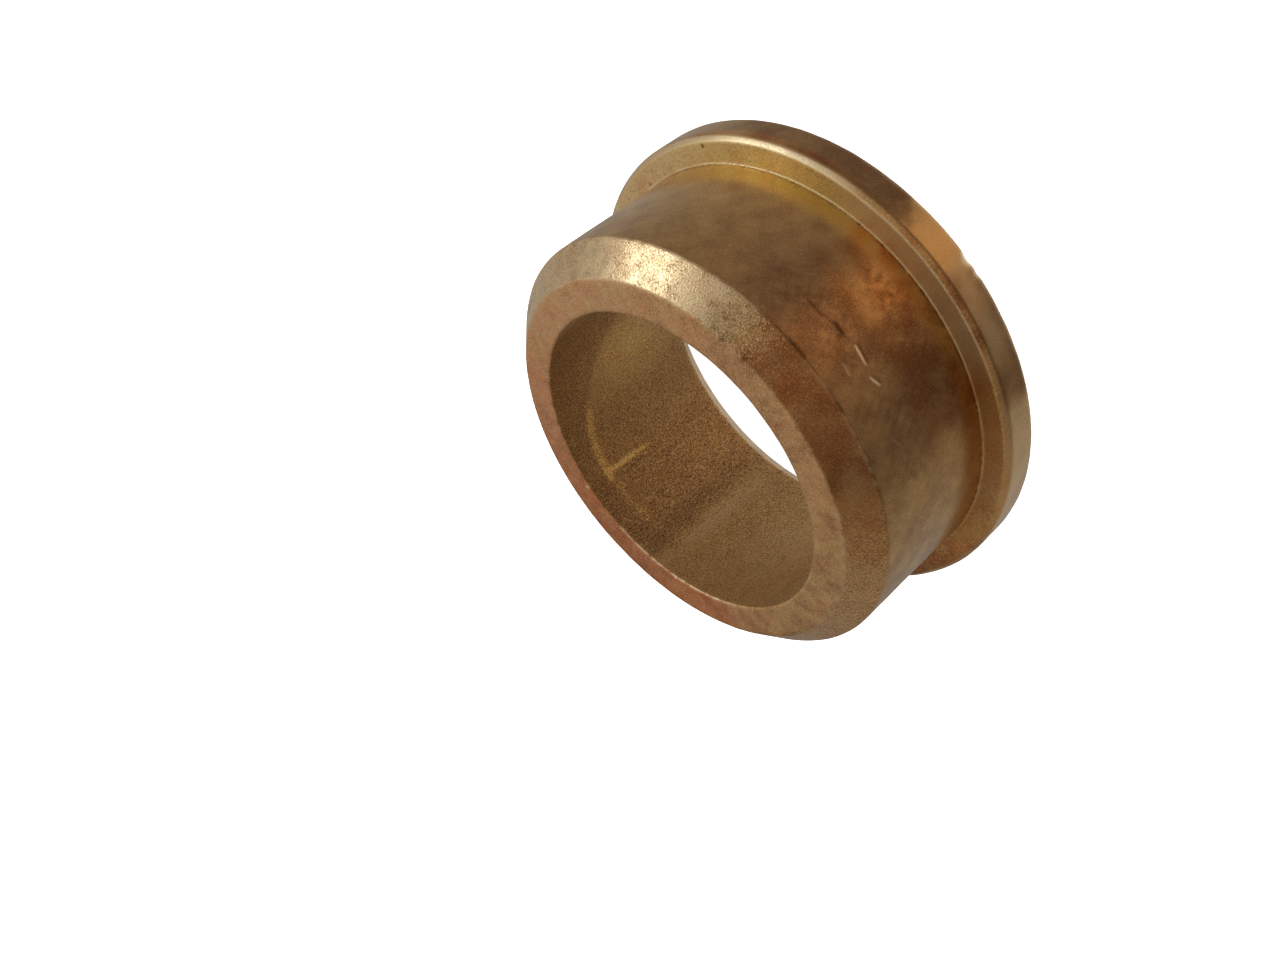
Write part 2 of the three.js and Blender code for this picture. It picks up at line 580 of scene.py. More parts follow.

# %% [markdown]
# ## Light and shade painted in the bore
#
# The bore's colour holds painted light and shade. A darker field is a painted dark
# reflection. It ends in an arch, and above the arch the bore is painted in shade. A golden line
# along the arch and one straight arm down from its cusp are painted caustic light. A painted
# light streak runs along the bore beside the field. The arch is a curve, height against angle,
# that is steeper on one side of its cusp.

# %% Where the painted light and shade lie in the bore
CUSP_ANGLE = 77.0
CUSP_HEIGHT = 13.8
STEEP_FALL = 0.0017  # in mm, for each square degree away from the cusp
GENTLE_FALL = 0.0005
ARCH_FADE = 0.6
FIELD_FOOT = 1.0
FIELD_FADE = 8.0
past_cusp = angles[:, None] - CUSP_ANGLE
arch = CUSP_HEIGHT - np.where(past_cusp < 0, STEEP_FALL, GENTLE_FALL) * past_cusp**2
# the bore above the arch is painted in shade
painted_shade_over_arch = np.clip((heights - arch) / ARCH_FADE + 0.5, 0, 1) * sector(-30, 112, 6)
fading_in = np.clip((heights - FIELD_FOOT) / FIELD_FADE, 0, 1)
# a painted dark reflection below the arch, between 54 and 111 degrees
painted_dark_reflection = sector(54, 111, 3) * (1 - painted_shade_over_arch) * fading_in
# a painted light streak beside the field
painted_light_streak = patch(115.5, 9.0, 2.6, 4.4)
light_side = patch(146, 8.0, 14, 4.0)
near_side = patch(38, 8.0, 17, 5.0)
print(f"The arch falls from {arch.max():.1f} mm at its cusp")

# %% Tarnish in the bore, with painted shade and light
bore_tarnish_and_shading = (
    0.14
    # painted dark reflection, darker from 76 to 111 degrees
    + 0.22 * painted_dark_reflection
    + 0.22 * sector(76, 111, 8)
    # painted shade above the arch
    + 0.32 * painted_shade_over_arch
    # painted dark reflection, darker beside the streak
    + 0.20 * patch(106.5, 8.0, 3.5, 6.0)
    + 0.10 * sector(118, 150, 14)
    # the painted light streak is lighter
    - 0.30 * painted_light_streak
    - 0.15 * light_side
    - 0.18 * near_side
    - 0.14 * sector(334, 366, 14)
    + 0.14 * sector(168, 198, 14)
)
# the bore's painted shade and light join the tarnish here
tarnish_and_shading = outside + bore * bore_tarnish_and_shading + clouds * (1 - 0.5 * bore - 0.4 * seat - 0.4 * chamfer)
print(f"Mean tarnish in the bore: {bore_tarnish_and_shading.mean():.2f}")

# %% Painted caustic light, as gold, in the bore
LINE_DROP = 0.15
LINE_WIDTH = 0.42
# painted caustic light: a gold line along the arch, an arm down from the cusp, and the cusp
caustic_arch_line = np.exp(-(((heights - arch + LINE_DROP) / LINE_WIDTH) ** 2))
caustic_arch_line = caustic_arch_line * (sector(52, 78.5, 9) + 0.42 * sector(79, 103, 12))
caustic_arm = groove(heights, (76.2, 13.6), (77.4, 8.6), 0.33, bank=0) * above(9.0, 5.0)
painted_caustic = (0.80 * caustic_arm + 0.62 * caustic_arch_line + 0.25 * patch(77, 13.5, 2.2, 0.5)).clip(0, 0.85)
painted_caustic = painted_caustic * (1 + 0.25 * ripples(46, 0.9))
gold = bore * (
    painted_caustic
    + 0.40 * near_side
    + 0.02 * light_side
    + 0.16 * patch(166, 3.0, 13, 2.0)
    + 0.12
    # more gold below the arch: painted light
    + 0.18 * (1 - painted_shade_over_arch)
)
print(f"The gold line covers {100 * (painted_caustic * bore > 0.3).mean():.1f}% of the grid")

# %% [markdown]
# ## Redder and paler metal
#
# The end face kept a copper bloom from the furnace. One side of the sleeve, the seat and the
# chamfer is stained amber, a film that takes out green and blue. At the foot of the other
# side, straw yellow, which takes out blue alone, and pale metal are a painted reflection of the
# seat, and the seat is painted lighter with them. On the chamfer the metal was ground or wiped
# to a pale, silvery gold, and the bore's painted light streak is pale too. All four could be one
# painted colour, but as four amounts each keeps its own edge.

# %% Copper bloom
copper = (
    nose * (0.50 + 0.4 * sector(30, 150, 50) - 0.25 * sector(160, 225, 40))
    + 0.50 * chamfer * sector(248, 280, 8)
    + 0.40 * sleeve * sector(262, 279, 6) * above(8.6, 1.5)
    + 0.12 * mottle
    + 0.10 * ripples(23, 3.4)
    + 0.20 * nose * ripples(61, 1.1)
    + 0.10 * seat * sector(338, 375, 16)
)
print(f"Copper: mean {copper.mean():.2f}, most {copper.max():.2f}")

# %% Amber film
low = 1 - above(8.6, 1.8)
amber = (
    sleeve * low * red_side * (0.42 - 0.15 * foot)
    + 0.55 * sleeve * foot * sector(263, 285, 8)
    + seat * (0.75 * sector(140, 200, 20) + 0.45 * sector(200, 244, 12) + 0.15 * sector(280, 362, 15))
    + 0.40 * chamfer * sector(218, 262, 8)
    + 0.50 * chamfer * sector(262, 282, 8)
    + flange_edge * (0.2 * sector(165, 245, 10) + 0.4 * sector(245, 284, 10))
    + 0.55 * nose * sector(60, 145, 30)
    + 0.70 * rim * sector(292, 330, 14) * above(1.75, 0.5)
)
amber = amber * (1 + 0.4 * mottle)
print(f"Amber: mean {amber.mean():.2f}, most {amber.max():.2f}")

# %% Straw tint and pale metal, partly painted reflection and light
straw = (
    # straw at the sleeve's foot: a painted reflection of the seat; on the seat: painted light
    (0.8 * seat + sleeve * foot) * (0.75 * sector(282, 338, 18) + 0.35 * sector(338, 380, 16))
    + seat * (0.4 * sector(246, 282, 16) + 0.25 * sector(190, 244, 14))
)
pale = (
    chamfer * (0.15 + 0.42 * ground_side)
    + flange_edge * (0.10 + 0.32 * sector(219, 240, 12) + 0.55 * sector(292, 385, 16))
    # painted light on the seat
    + 0.55 * seat * sector(246, 400, 14)
    # pale metal at the sleeve's foot: a painted reflection of the seat
    + 0.50 * sleeve * foot * sector(268, 400, 26)
    + rim * (0.5 * sector(180, 235, 6) + 0.3 * sector(245, 266, 5))
    # in the bore, the painted light streak is pale
    + bore * (0.5 * painted_light_streak + 0.2 * light_side + 0.12 * near_side + 0.45 * sector(334, 366, 14))
    + 0.20 * nose * sector(318, 370, 16)
)
print(f"Straw: most {straw.max():.2f}; pale: mean {pale.mean():.2f}, most {pale.max():.2f}")

# %% [markdown]
# ## Dull faces and open pores
#
# Sizing burnishes the sleeve and the rim between polished dies, which closes their pores.
# The bore and the punched end stay duller and show the powder's grain. So each face has a
# roughness and a share of visible grain of its own.

# %% Roughness and grain by face
elsewhere = (1 - sleeve - rim - nose - chamfer - seat - bore).clip(0, 1)
rough = (
    0.30 * sleeve
    + 0.28 * rim
    + 0.52 * nose
    + 0.34 * chamfer
    + 0.50 * seat
    + 0.58 * bore
    + 0.34 * elsewhere
    + 0.10 * back
    + 0.10 * chamfer * ground_side * ripples(53, 1.3)
)
grainy = (
    0.22 * sleeve
    + 0.18 * rim
    + 0.80 * bore
    + 0.42 * seat
    + 0.42 * nose
    + 0.70 * chamfer
    - 0.45 * chamfer * sector(232, 276, 12)
    + 0.50 * back
    + 0.45 * bore_chamfer
    + 0.34 * flange_edge
)
print(f"Roughness {rough.min():.2f} to {rough.max():.2f}, grain {grainy.min():.2f} to {grainy.max():.2f}")

# %% [markdown]
# ## Bright lines
#
# An edge that is handled is rubbed to bare metal in a thin, broken line, and a scratch is
# bare along its middle. Many lines are also painted highlights: at the chamfer's foot, on the
# nose's outer edge, on the flange's front edge, beside the fillet and along the scratches; and
# the seat is painted lighter. A bevel with its own material could show a bright edge, but it
# would be even all round. These lines follow the section's corners and the list of scratches,
# and a sector and a ripple break them up.

# %% Rubbed edges and painted highlights
def thin_edge_line(r, z, first, last, width):
    """A thin line that runs round the ring at one corner of the section, between two angles:
    a bell across the walk from the row nearest the corner, times the sector, broken up by a
    ripple."""
    corner = along[0, np.argmin(np.hypot(section_crisp[:, 0] - r, section_crisp[:, 1] - z))]
    bell = np.exp(-(((along - corner) / width) ** 2))
    return bell * sector(first, last, 8) * np.clip(0.6 + 0.6 * ripples(31, 0.9), 0, 1)


NOSE_R = radius[height > LENGTH - TOUCH].max()
CHAMFER_FOOT = LENGTH - (SLEEVE_R - NOSE_R)
FILLET = 0.15
# a painted highlight along the chamfer's foot, in gold and bare metal, with less tarnish
chamfer_line = thin_edge_line(SLEEVE_R, CHAMFER_FOOT, 238, 268, 0.10)
gold = gold + 0.6 * chamfer_line
bare_and_painted_light = (
    0.35 * chamfer_line
    # a painted highlight on the flange's front edge
    + 0.25 * flange_edge * sector(292, 324, 14)
    + 0.45 * thin_edge_line(SLEEVE_R, CHAMFER_FOOT, 285, 345, 0.07)
    # a painted highlight on the nose's outer edge
    + 0.30 * thin_edge_line(NOSE_R, LENGTH, 185, 236, 0.16)
    + 0.85 * thin_edge_line(BORE_R, LENGTH, 92, 150, 0.10)
    # painted highlights beside the fillet
    + 0.05 * thin_edge_line(SLEEVE_R + FILLET, FLANGE_TOP, 190, 285, 0.05)
    + 0.30 * thin_edge_line(SLEEVE_R + FILLET, FLANGE_TOP, 288, 360, 0.05)
    # painted light on the seat
    + seat * (0.36 * sector(246, 292, 12) + 0.10 * sector(205, 232, 12))
    # the knocked dent: bare metal with a painted glint
    + 0.90 * knock
)
print(f"The chamfer starts {CHAMFER_FOOT:.2f} mm up and ends at a radius of {NOSE_R:.2f} mm")

# %% Bare scratches and nicks, with painted highlights and a painted glint
BRIGHT_SCRATCHES = {2: 0.9, 3: 0.8, 4: 0.25, 5: 0.15}
NICK_HALF_ANGLE = 0.5
NICK_WIDTH = 0.12
for k, brightness in BRIGHT_SCRATCHES.items():
    start, end, width, _ = SCRATCHES[k]
    # bare metal along each scratch, with a painted highlight
    bare_and_painted_light = bare_and_painted_light + brightness * groove(heights, start, end, width, bank=0) * sleeve
for angle, r in ((76.2, 12.75), (122.9, 12.6)):
    nick = (angle - NICK_HALF_ANGLE, r), (angle + NICK_HALF_ANGLE, r)
    bare_and_painted_light = bare_and_painted_light + 0.9 * nose * groove(radii, *nick, NICK_WIDTH, bank=0)
# a painted glint in the bore
bare_and_painted_light = bare_and_painted_light + 0.7 * bore * groove(heights, (42.8, 12.55), (43.2, 12.55), NICK_WIDTH, bank=0)
bare_and_painted_light = bare_and_painted_light.clip(0, 1)
print(f"Bare metal covers {100 * (bare_and_painted_light > 0.3).mean():.1f}% of the grid")

# %% [markdown]
# ## Dirt, and painted shade
#
# Dirt does the opposite of rubbing: it stays in the corner at the sleeve's foot, and in nicks
# and pits. In that corner it also stands for painted shade, which dims the fillet's reflection.
# A dark line runs just below each scratch, beside the bright one. Its colour is dark and
# nearly grey, so it multiplies the colour under it.

# %% Dark lines and smudges beside the scratches
DARK_LIPS = {
    # scratch: how far below its line the dark line lies, in mm, and how dark it is
    0: (0.10, 0.45),
    1: (0.04, 0.95),
    2: (0.17, 0.65),
    3: (0.17, 0.30),
}
dirt_and_shade = 0.30 * groove(heights, (280.2, 10.52), (266.5, 10.16), 0.08, bank=0) * sleeve
for k, (lower, dark) in DARK_LIPS.items():
    start, end, width, _ = SCRATCHES[k]
    lip = (start[0], start[1] - lower), (end[0], end[1] - lower)
    dirt_and_shade = dirt_and_shade + dark * groove(heights, *lip, 1.4 * width, bank=0) * sleeve
smudge = patch(270.2, 10.55, 0.7, 0.22) + 0.8 * patch(268.9, 10.45, 0.5, 0.16)
dirt_and_shade = dirt_and_shade + (0.55 * smudge * (1 + 0.8 * fine_mottle)).clip(0, 1)
print(f"Dirt beside the scratches: most {dirt_and_shade.max():.2f}")

# %% Dirt in nicks and pits, and dirt with painted shade in the corner at the foot
CHAMFER_NICK = ((275.3, 13.55), (270.4, 13.52))
NOSE_DENTS = (286.1, 279.1)
DENT_HALF_ANGLE = 0.8
FULL_PIT = 0.05
dirt_and_shade = dirt_and_shade + 0.65 * groove(heights, *CHAMFER_NICK, 0.12, bank=0) * (sleeve + chamfer)
for angle in NOSE_DENTS:
    dent = (angle - DENT_HALF_ANGLE, NOSE_R), (angle + DENT_HALF_ANGLE, NOSE_R)
    dirt_and_shade = dirt_and_shade + 0.6 * groove(radii, *dent, 0.2, bank=0) * above(LENGTH - 0.5, 0.3)
dots = (2.2 * ripples(33, 0.35) - 0.9).clip(0, 1)
corner_line = thin_edge_line(SLEEVE_R, FLANGE_TOP + FILLET, 180, 375, 0.09)
# the corner's dirt, with painted shade that dims the fillet's reflection, most from 238 to 284 degrees
corner_dirt_and_shade = 0.25 + dots + 0.35 * sector(238, 284, 8) + 0.40 * sector(328, 372, 10)
dirt_and_shade = (dirt_and_shade + corner_dirt_and_shade * corner_line + pitted / FULL_PIT).clip(0, 1)
grainy = grainy + 1.2 * corner_line * sector(286, 372, 10)
# bare metal and painted highlights take the place of tarnish; dirt and painted shade add to it
tarnish_and_shading = tarnish_and_shading * (1 - bare_and_painted_light) * (1 - 0.8 * chamfer_line) + 0.5 * dirt_and_shade
print(f"Dirt covers {100 * (dirt_and_shade > 0.3).mean():.1f}% of the grid")

# %% [markdown]
# ## From numpy to the mesh
#
# The amounts could be vertex colours, but each of those holds only one colour. A mesh can
# carry any number of named attributes, one value to a point, and a material reads them by
# name. The sums may pass 0 or 1 here and there, so they are held between the two.

# %% Store the amounts on the mesh
skin = {"tarnish_and_shading": tarnish_and_shading, "copper": copper, "amber": amber, "straw": straw, "pale": pale}
skin |= {"rough": rough, "grainy": grainy, "bare_and_painted_light": bare_and_painted_light, "gold": gold, "dirt_and_shade": dirt_and_shade}
for name, amount in skin.items():
    stored = bush.data.attributes.new(name, "FLOAT", "POINT")
    values = np.broadcast_to(amount, (COLUMNS, ROWS)).clip(0, 1)
    stored.data.foreach_set("value", values.astype(np.float32).ravel())
    print(f"{name:9s}{values.min():5.2f} to {values.max():.2f}")

# %% [markdown]
# ## Helpers for materials
#
# Materials could be wired by hand in the node editor. Written out, each kind of node gets a
# small function that makes it, links its inputs and returns its output, and the material
# below then reads like a recipe.

# %% A clean tree, an amount and some arithmetic
def set_up_nodes(material):
    """A clean node tree with a Principled shader on its output. Returns the tree and shader."""
    material.use_nodes = True
    tree = material.node_tree
    tree.nodes.clear()
    output = tree.nodes.new("ShaderNodeOutputMaterial")
    shader = tree.nodes.new("ShaderNodeBsdfPrincipled")
    tree.links.new(shader.outputs["BSDF"], output.inputs["Surface"])
    return tree, shader


def amount_of(tree, name):
    """The output of an Attribute node that reads one of the skin's amounts."""
    node = tree.nodes.new("ShaderNodeAttribute")
    node.attribute_name = name
    return node.outputs["Fac"]


def arithmetic(tree, operation, *values, clamp=False):
    """A Math node on numbers or outputs. Returns its result."""
    node = tree.nodes.new("ShaderNodeMath")
    node.operation = operation
    node.use_clamp = clamp
    for socket, value in zip(node.inputs, values):
        if isinstance(value, (int, float)):
            socket.default_value = value
        else:
            tree.links.new(value, socket)
    return node.outputs[0]


bronze = bpy.data.materials.new("sintered_bronze")
tree, shader = set_up_nodes(bronze)
print("A new material starts with", [node.bl_label for node in tree.nodes])

# %% A blend of colours and a grain
GRAIN_DETAIL = 2.0
GRAIN_ROUGHNESS = 0.5


def blend_colours(tree, amount, first, second, way="MIX"):
    """A Mix node between two colours, each a tuple or an output. The way is how the second
    meets the first: MIX puts it in the first's place, MULTIPLY filters the first by it."""
    node = tree.nodes.new("ShaderNodeMix")
    node.data_type = "RGBA"
    node.blend_type = way
    tree.links.new(amount, node.inputs["Factor"])
    for name, colour in (("A", first), ("B", second)):
        socket = next(s for s in node.inputs if s.name == name and s.type == "RGBA")
        if isinstance(colour, tuple):
            socket.default_value = (*colour, 1.0)
        else:
            tree.links.new(colour, socket)
    return next(s for s in node.outputs if s.type == "RGBA")


def grain(tree, size):
    """A noise on Object coordinates whose features are about the given size in mm."""
    place = tree.nodes.new("ShaderNodeTexCoord")
    noise = tree.nodes.new("ShaderNodeTexNoise")
    noise.inputs["Scale"].default_value = 1 / (size * MM)
    noise.inputs["Detail"].default_value = GRAIN_DETAIL
    noise.inputs["Roughness"].default_value = GRAIN_ROUGHNESS
    tree.links.new(place.outputs["Object"], noise.inputs["Vector"])
    return noise.outputs["Fac"]


SPECKLE_SIZE = 0.13
speckle = arithmetic(tree, "SUBTRACT", grain(tree, SPECKLE_SIZE), 0.5)
print(f"The bore is {2 * math.pi * BORE_R / SPECKLE_SIZE:.0f} specks round")

# %% [markdown]
# ## The bronze
#
# Sintered tin bronze is a bare metal, so it is fully metallic, and its colour is the colour
# of its reflection. Layered shaders could stand for its skins, but one shader whose colour
# is mixed is enough, because every skin here is thin. Brown, copper and pale metal take the
# bronze's place, and the amber, straw and dirt films filter it; the brown, the pale metal, the
# straw and the dirt also hold painted light and shade. Fine noise breaks up the edge of the
# tarnish with specks as fine as the powder, and paints glints on bare grains.

# %% Mix the colours
BRONZE = (0.60, 0.40, 0.175)
# the brown of tarnish, also the colour of painted shade
BROWN_SKIN_AND_SHADE = (0.235, 0.130, 0.060)
COPPER_SKIN = (0.58, 0.26, 0.130)
# pale metal, also painted light on the seat, the sleeve's foot and the bore
PALE_METAL_AND_LIGHT = (0.68, 0.57, 0.38)
AMBER_FILM = (1.0, 0.66, 0.42)
# straw yellow, also painted reflection and light at the sleeve's foot and on the seat
STRAW_TINT = (1.0, 1.0, 0.62)
# gold grains, and the bore's painted caustic light
GOLD = (1.0, 0.76, 0.30)
# bare metal, and painted highlights and glints
GLINT = (1.0, 0.86, 0.62)
# dirt, and painted shade in the corner at the sleeve's foot
DIRT_AND_SHADE = (0.42, 0.36, 0.32)
TARNISH_SPECKLE = 4.0

speckle_depth = arithmetic(tree, "MULTIPLY", amount_of(tree, "grainy"), TARNISH_SPECKLE)
# tarnish, with its painted shade and light, broken up by specks
tarnish_and_shading_here = arithmetic(
    tree, "MULTIPLY_ADD", speckle, speckle_depth, amount_of(tree, "tarnish_and_shading"), clamp=True
)
colour = blend_colours(tree, amount_of(tree, "pale"), BRONZE, PALE_METAL_AND_LIGHT)
colour = blend_colours(tree, amount_of(tree, "copper"), colour, COPPER_SKIN)
colour = blend_colours(tree, tarnish_and_shading_here, colour, BROWN_SKIN_AND_SHADE)
colour = blend_colours(tree, amount_of(tree, "amber"), colour, AMBER_FILM, "MULTIPLY")
colour = blend_colours(tree, amount_of(tree, "straw"), colour, STRAW_TINT, "MULTIPLY")
print(f"Skins and films take {len(tree.nodes)} nodes")

# %% Gold and painted caustic light, painted glints, and dirt with painted shade
# A noise hardly ever passes 0.8, so a gain with a negative offset keeps only its peaks. The
# amount of gold lifts the offset, and more of the noise's grains then show.
GLINT_SIZE = 0.09
GLINT_GAIN = 6.0
GLINT_OFFSET = -3.4
GOLD_SIZE = 0.085
GOLD_GAIN = 9.0
GOLD_LIFT = 3.2
GOLD_OFFSET = -6.4

gold_level = arithmetic(tree, "MULTIPLY_ADD", amount_of(tree, "gold"), GOLD_LIFT, GOLD_OFFSET)
gold_here = arithmetic(
    tree, "MULTIPLY_ADD", grain(tree, GOLD_SIZE), GOLD_GAIN, gold_level, clamp=True
)
# painted glints at the noise's peaks, on grainy faces
glint = arithmetic(
    tree, "MULTIPLY_ADD", grain(tree, GLINT_SIZE), GLINT_GAIN, GLINT_OFFSET, clamp=True
)
glint = arithmetic(tree, "MULTIPLY", glint, amount_of(tree, "grainy"))
# bare metal and painted highlights take the glint's colour too
glint = arithmetic(tree, "MAXIMUM", glint, amount_of(tree, "bare_and_painted_light"))
# gold grains, and the bore's painted caustic light in gold
colour = blend_colours(tree, gold_here, colour, GOLD)
colour = blend_colours(tree, glint, colour, GLINT)
# dirt, and painted shade in the corner at the foot, darken the colour
colour = blend_colours(tree, amount_of(tree, "dirt_and_shade"), colour, DIRT_AND_SHADE, "MULTIPLY")
tree.links.new(colour, shader.inputs["Base Color"])
print(f"Gold shows where the noise is above {-GOLD_OFFSET / GOLD_GAIN:.2f}, less the gold's lift")

# %% Roughness and bump
BUMP_SIZE = 0.16
BUMP_DEPTH = 0.03 * MM
GRAIN_BUMP = 0.7
EVEN_BUMP = 0.02

shader.inputs["Metallic"].default_value = 1.0
rough_here = arithmetic(
    tree, "MULTIPLY_ADD", speckle, amount_of(tree, "grainy"), amount_of(tree, "rough"), clamp=True
)
tree.links.new(rough_here, shader.inputs["Roughness"])
bump = tree.nodes.new("ShaderNodeBump")
bump.inputs["Distance"].default_value = BUMP_DEPTH
bump_strength = arithmetic(tree, "MULTIPLY_ADD", amount_of(tree, "grainy"), GRAIN_BUMP, EVEN_BUMP)
tree.links.new(bump_strength, bump.inputs["Strength"])
tree.links.new(grain(tree, BUMP_SIZE), bump.inputs["Height"])
tree.links.new(bump.outputs["Normal"], shader.inputs["Normal"])
bush.data.materials.append(bronze)
print(f"The bronze takes {len(tree.nodes)} nodes and {len(tree.links)} links")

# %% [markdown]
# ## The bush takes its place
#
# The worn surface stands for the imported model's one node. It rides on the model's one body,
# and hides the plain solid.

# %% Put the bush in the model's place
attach(bush, "root")
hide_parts("flanged_bushing")
print("The bush stands in for the node flanged_bushing")

# %% [markdown]
# ## The floor
#
# The bush stands on a white sweep: a floor that curves up into a wall, so that no corner or
# horizon shows. A plane would do for one view, but its far edge would show in a low one. It
# glows a little, as a light table does, so that it stays white even where the bush shades
# it, and it is kept out of reflections, because the room below gives those.

# %% Shape the sweep
SWEEP_FLAT = 350.0
SWEEP_OUT = 800.0
SWEEP_UP = 700.0
SWEEP_GAP = 0.02
FLAT_SHARE = 0.2


def white_sweep(columns=96, rows_count=40):
    """A bowl: flat to a radius, then a quarter of an ellipse that rises to a wall. Along the
    profile, t runs from 0 to 1; the curved part is radius = flat + (out - flat) sin(q) and
    height = up (1 - cos(q)), for q from 0 to a quarter turn."""
    t = np.linspace(0, 1, rows_count)
    q = np.clip((t - FLAT_SHARE) / (1 - FLAT_SHARE), 0, 1) * np.pi / 2
    rise = SWEEP_FLAT + (SWEEP_OUT - SWEEP_FLAT) * np.sin(q)
    r = np.where(t < FLAT_SHARE, SWEEP_FLAT * t / FLAT_SHARE, rise)
    z = SWEEP_UP * (1 - np.cos(q))
    a = np.linspace(0, 2 * np.pi, columns, endpoint=False)[:, None]
    grid = np.stack(np.broadcast_arrays(r * np.cos(a), r * np.sin(a), z), axis=-1)
    i, j = np.meshgrid(np.arange(columns), np.arange(rows_count - 1), indexing="ij")
    k = (i + 1) % columns
    quads = np.stack([i, k, k, i], -1) * rows_count + np.stack([j, j, j + 1, j + 1], -1)
    return grid, quads.reshape(-1, 4)


sweep_points, sweep_faces = white_sweep()
sweep = mesh_object("white_sweep", sweep_points - (0, 0, SWEEP_GAP), sweep_faces)
sweep.visible_glossy = False
sweep.visible_shadow = False
print(f"The sweep is {2 * SWEEP_OUT / 1000:.1f} m across, with {len(sweep_faces)} faces")

# %% Paper for the sweep
PAPER_WHITE = (0.9, 0.9, 0.9, 1)
PAPER_ROUGHNESS = 0.9
SWEEP_GLOW = 0.95

paper = bpy.data.materials.new("white_paper")
tree, shader = set_up_nodes(paper)
shader.inputs["Base Color"].default_value = PAPER_WHITE
shader.inputs["Roughness"].default_value = PAPER_ROUGHNESS
shader.inputs["Emission Color"].default_value = (1, 1, 1, 1)
shader.inputs["Emission Strength"].default_value = SWEEP_GLOW
sweep.data.materials.append(paper)
print(f"The paper glows at {SWEEP_GLOW}")

# %% [markdown]
# ## The lamp
#
# The lamp is one soft box, high on one side of the bush. A sun would be simpler, but on
# metal it would leave hard edges of light. A disk that is wide for its distance fades over
# the curve of the sleeve as the light in a studio does.

# %% Hang the lamp
LAMP_BEARING = math.radians(92)
LAMP_HEIGHT_ANGLE = math.radians(31)
LAMP_DISTANCE = 300 * MM
LAMP_SIZE = 120 * MM
LAMP_POWER = 0.085


def towards(bearing, height_angle):
    """The direction at a bearing from +Y towards +X, and at a height above the horizon."""
    flat = math.cos(height_angle)
    return Vector((math.sin(bearing) * flat, math.cos(bearing) * flat, math.sin(height_angle)))


def soft_box(name, direction, distance, size, power):
    """A round area light that faces the middle of the bush."""
    data = bpy.data.lights.new(name, "AREA")
    data.shape = "DISK"
    data.size = size
    data.energy = power
    lamp = bpy.data.objects.new(name, data)
    lamp.location = direction * distance + Vector((0, 0, LENGTH / 2 * MM))
    lamp.rotation_mode = "QUATERNION"
    lamp.rotation_quaternion = direction.to_track_quat("Z", "Y")
    lamp.visible_camera = False
    bpy.context.collection.objects.link(lamp)
    return lamp


lamp_side = towards(LAMP_BEARING, LAMP_HEIGHT_ANGLE)
lamp = soft_box("soft_box", lamp_side, LAMP_DISTANCE, LAMP_SIZE, LAMP_POWER)
print("Lamp at, in mm:", np.round(np.array(lamp.location) / MM).tolist())

# %% [markdown]
# ## The room
#
# Bare metal shows its surroundings, so the room matters as much as the lamp. It could be
# built from cards and walls, but a world of soft tones is simpler: rings of colour round the
# bush at three heights, each fading into the next, between a pale floor and a ceiling. They
# are pale on the far side, and darker and warmer on the camera's side, with one bright, warm
# patch on the table in front of it.

# %% Tones on the table
TABLE_RING = [
    # bearing from +Y towards +X in degrees, and the tone seen there, low down
    (-180, (0.76, 0.50, 0.31)),
    (-172, (0.72, 0.47, 0.29)),
    (-168, (0.42, 0.29, 0.21)),
    (-152, (0.36, 0.26, 0.19)),
    (-138, (0.21, 0.16, 0.13)),
    (-106, (0.22, 0.17, 0.14)),
    (-99, (0.40, 0.34, 0.28)),
    (-72, (0.44, 0.39, 0.33)),
    (-50, (0.44, 0.40, 0.36)),
    (-32, (0.36, 0.34, 0.31)),
    (-10, (0.34, 0.33, 0.33)),
    (10, (0.38, 0.37, 0.37)),
    (30, (0.44, 0.41, 0.38)),
    (50, (0.44, 0.40, 0.35)),
    (80, (0.41, 0.35, 0.29)),
    (110, (0.40, 0.33, 0.27)),
    (142, (0.31, 0.24, 0.21)),
    (160, (0.27, 0.21, 0.18)),
    (165, (0.74, 0.48, 0.30)),
    (180, (0.76, 0.50, 0.31)),
]
print(f"{len(TABLE_RING)} tones round the table")

# %% Tones on the walls
WALL_RING = [
    # the same, a little above the height of the bush
    (-180, (0.26, 0.19, 0.14)),
    (-150, (0.14, 0.11, 0.09)),
    (-122, (0.12, 0.10, 0.08)),
    (-108, (0.24, 0.20, 0.16)),
    (-85, (0.36, 0.28, 0.22)),
    (-65, (0.43, 0.35, 0.29)),
    (-47, (0.40, 0.33, 0.27)),
    (-30, (0.32, 0.26, 0.20)),
    (-16, (0.24, 0.19, 0.15)),
    (-6, (0.34, 0.30, 0.27)),
    (10, (0.46, 0.44, 0.41)),
    (47, (0.52, 0.47, 0.41)),
    (64, (0.54, 0.50, 0.46)),
    (110, (0.45, 0.40, 0.35)),
    (143, (0.32, 0.28, 0.24)),
    (150, (0.30, 0.23, 0.17)),
    (180, (0.26, 0.19, 0.14)),
]
print(f"{len(WALL_RING)} tones round the walls")

